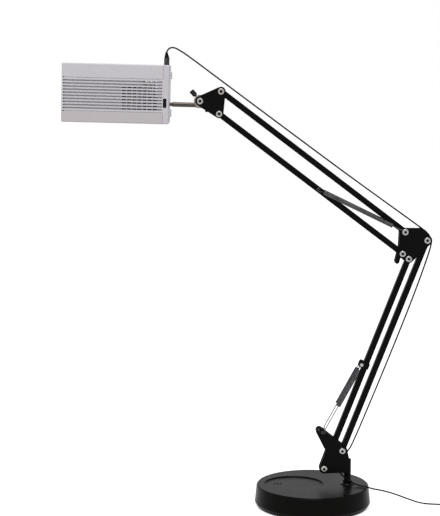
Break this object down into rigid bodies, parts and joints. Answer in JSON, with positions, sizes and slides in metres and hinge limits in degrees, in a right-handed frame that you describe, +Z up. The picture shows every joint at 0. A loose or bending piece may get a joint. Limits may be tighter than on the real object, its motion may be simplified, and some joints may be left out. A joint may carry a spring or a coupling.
{
  "type": "art projector on swing-arm stand",
  "caption": "Compact box-shaped projector that looks down from a spring-balanced swing arm with parallel links, on a round weighted base, with its power cord and plug-in supply",
  "frame": {"origin": "middle of the base's underside, where it stands on the table", "axes": "+X to the right along the arms' plane, away from the projector; +Y away from the viewer; +Z up"},
  "size_m": [0.7287, 0.2165, 0.7946],
  "materials": {
    "black_paint": "satin black powder coat on steel",
    "iron": "raw cast iron, hidden in the base",
    "black_bolt": "blackened steel, low sheen",
    "bolt_steel": "bright zinc-plated bolt heads",
    "steel": "zinc-plated steel",
    "dark_spring": "dark oil-tempered spring wire",
    "grey_spring": "bright drawn spring wire",
    "chrome": "polished chrome plate",
    "black_plastic": "matt black moulded plastic",
    "white_plastic": "smooth white moulded plastic, soft sheen",
    "glass": "coated lens glass",
    "aluminium": "extruded aluminium",
    "board": "green solder-masked board",
    "brass": "turned brass insert",
    "rubber_black": "soft black rubber",
    "case_screw": "plated screws",
    "cord_black": "smooth black cord sheath",
    "plug_black": "smooth black moulding",
    "blade_metal": "nickel-plated blades"
  },
  "bodies": {
    "root": {"base_shell": "black_paint", "base_weight": "iron", "base_foot_pad": "rubber_black", "base_socket_bush": "black_plastic", "base_screws": "black_bolt", "cord_floor": "cord_black", "cord_coil": "cord_black", "coil_tie": "black_plastic", "adapter_body": "plug_black", "adapter_strain_relief": "plug_black", "adapter_blades": "blade_metal"},
    "swivel": {"post": "black_paint", "base_plate_near": "black_paint", "base_plate_far": "black_paint", "base_pivot_bolts": "bolt_steel", "base_pivot_washers": "steel", "lower_spring_studs": "black_bolt"},
    "lower_rear_link": {"lower_rear_link": "black_paint", "cord_lower": "cord_black"},
    "lower_front_link": {"lower_front_link": "black_paint", "lower_spring_clip": "black_paint", "lower_spring_pin": "steel"},
    "lower_spring_coils": {"lower_springs": "dark_spring"},
    "lower_spring_hooks": {"lower_spring_wires": "steel"},
    "elbow": {"elbow_plate_near": "black_paint", "elbow_plate_far": "black_paint", "elbow_pivot_bolts": "bolt_steel", "elbow_pivot_washers": "steel"},
    "upper_top_link": {"upper_top_link": "black_paint", "cord_upper": "cord_black"},
    "upper_bottom_link": {"upper_bottom_link": "black_paint", "upper_spring_pin": "steel"},
    "upper_spring_coils": {"upper_springs": "grey_spring"},
    "upper_spring_hooks": {"upper_spring_wires": "steel"},
    "head_bracket": {"head_plate_near": "black_paint", "head_plate_far": "black_paint", "head_pivot_bolts": "bolt_steel", "head_pivot_washers": "steel"},
    "knuckle": {"tilt_knuckle": "chrome", "projector_rod": "chrome"},
    "lock_screw": {"tilt_lock_screw": "black_plastic"},
    "projector": {"centre_frame": "white_plastic", "front_cover": "white_plastic", "rear_cover": "white_plastic", "lens_barrel": "black_plastic", "lens_glass": "glass", "light_engine": "black_plastic", "heat_sink": "aluminium", "fan_frame": "black_plastic", "main_board": "board", "hdmi_socket": "black_plastic", "dc_jack": "black_plastic", "tripod_bush": "brass", "rubber_feet": "rubber_black", "case_screws": "case_screw", "dc_plug": "plug_black", "dc_plug_boot": "plug_black"},
    "focus_ring": {"focus_ring": "black_plastic"},
    "power_button": {"power_button": "white_plastic"},
    "fan_rotor": {"fan_rotor": "black_plastic"}
  },
  "joints": [
    {"name": "base_swivel", "type": "hinge", "parent": "root", "child": "swivel", "pos_m": [0.061, 0, 0.045], "axis": [0, 0, 1], "range_deg": [-90, 90], "deforming": ["cord_floor"]},
    {"name": "lower_arm_swing", "type": "hinge", "parent": "swivel", "child": "lower_rear_link", "pos_m": [0.051, 0, 0.099], "axis": [0, 1, 0], "range_deg": [-30, 8], "deforming": ["cord_lower"]},
    {"name": "lower_front_swing", "type": "hinge", "parent": "swivel", "child": "lower_front_link", "pos_m": [0.0197, 0, 0.0674], "axis": [0, 1, 0], "range_deg": [-30, 8]},
    {"name": "lower_coil_swing", "type": "hinge", "parent": "lower_front_link", "child": "lower_spring_coils", "pos_m": [0.08261, 0, 0.25182], "axis": [0, 1, 0], "range_deg": [-14.2, 3.8], "deforming": ["lower_springs"]},
    {"name": "lower_hook_swing", "type": "hinge", "parent": "swivel", "child": "lower_spring_hooks", "pos_m": [0.0176, 0, 0.1326], "axis": [0, 1, 0], "range_deg": [-44.2, 11.8], "deforming": ["lower_spring_wires"]},
    {"name": "elbow_level", "type": "hinge", "parent": "lower_rear_link", "child": "elbow", "pos_m": [0.19284, 0, 0.46658], "axis": [0, 1, 0], "range_deg": [-8, 30]},
    {"name": "upper_arm_swing", "type": "hinge", "parent": "elbow", "child": "upper_top_link", "pos_m": [0.15434, 0, 0.48158], "axis": [0, 1, 0], "range_deg": [-55, 30], "deforming": ["cord_upper"]},
    {"name": "upper_bottom_swing", "type": "hinge", "parent": "elbow", "child": "upper_bottom_link", "pos_m": [0.15104, 0, 0.44378], "axis": [0, 1, 0], "range_deg": [-55, 30]},
    {"name": "upper_coil_swing", "type": "hinge", "parent": "upper_bottom_link", "child": "upper_spring_coils", "pos_m": [0.00607, 0, 0.55382], "axis": [0, 1, 0], "range_deg": [-1.2, 0.7], "deforming": ["upper_springs"]},
    {"name": "upper_hook_swing", "type": "hinge", "parent": "elbow", "child": "upper_spring_hooks", "pos_m": [0.15434, 0, 0.48158], "axis": [0, 1, 0], "range_deg": [-56.2, 30.7], "deforming": ["upper_spring_wires"]},
    {"name": "head_level", "type": "hinge", "parent": "upper_top_link", "child": "head_bracket", "pos_m": [-0.15949, 0, 0.7198], "axis": [0, 1, 0], "range_deg": [-30, 55]},
    {"name": "head_tilt", "type": "hinge", "parent": "head_bracket", "child": "knuckle", "pos_m": [-0.19499, 0, 0.7036], "axis": [0, 1, 0], "range_deg": [-40, 40]},
    {"name": "lock_screw_turn", "type": "hinge", "parent": "knuckle", "child": "lock_screw", "pos_m": [-0.2067, 0, 0.71727], "axis": [-0.6501, 0, 0.7598], "range_deg": [-90, 90]},
    {"name": "projector_turn", "type": "hinge", "parent": "knuckle", "child": "projector", "pos_m": [-0.21516, 0, 0.6971], "axis": [-0.9997, 0, 0.0253], "range_deg": [-90, 90]},
    {"name": "focus_turn", "type": "hinge", "parent": "projector", "child": "focus_ring", "pos_m": [-0.38593, 0, 0.66902], "axis": [-0.0253, 0, -0.9997], "range_deg": [-45, 45]},
    {"name": "power_press", "type": "slide", "parent": "projector", "child": "power_button", "axis": [0.9997, 0, -0.0253], "range_m": [0, 0.001], "stiffness_N_per_m": 600, "springref_m": -0.0005},
    {"name": "fan_spin", "type": "hinge", "parent": "projector", "child": "fan_rotor", "pos_m": [-0.29559, -0.036, 0.70841], "axis": [0, -1, 0], "continuous": true}
  ],
  "couplings": [
    {"joint": "lower_front_swing", "follows": "lower_arm_swing", "ratio": 1},
    {"joint": "elbow_level", "follows": "lower_arm_swing", "ratio": -1},
    {"joint": "lower_coil_swing", "follows": "lower_arm_swing", "ratio": 0.471},
    {"joint": "lower_hook_swing", "follows": "lower_arm_swing", "ratio": 1.471},
    {"joint": "upper_bottom_swing", "follows": "upper_arm_swing", "ratio": 1},
    {"joint": "head_level", "follows": "upper_arm_swing", "ratio": -1},
    {"joint": "upper_coil_swing", "follows": "upper_arm_swing", "ratio": 0.02},
    {"joint": "upper_hook_swing", "follows": "upper_arm_swing", "ratio": 1.02}
  ]
}
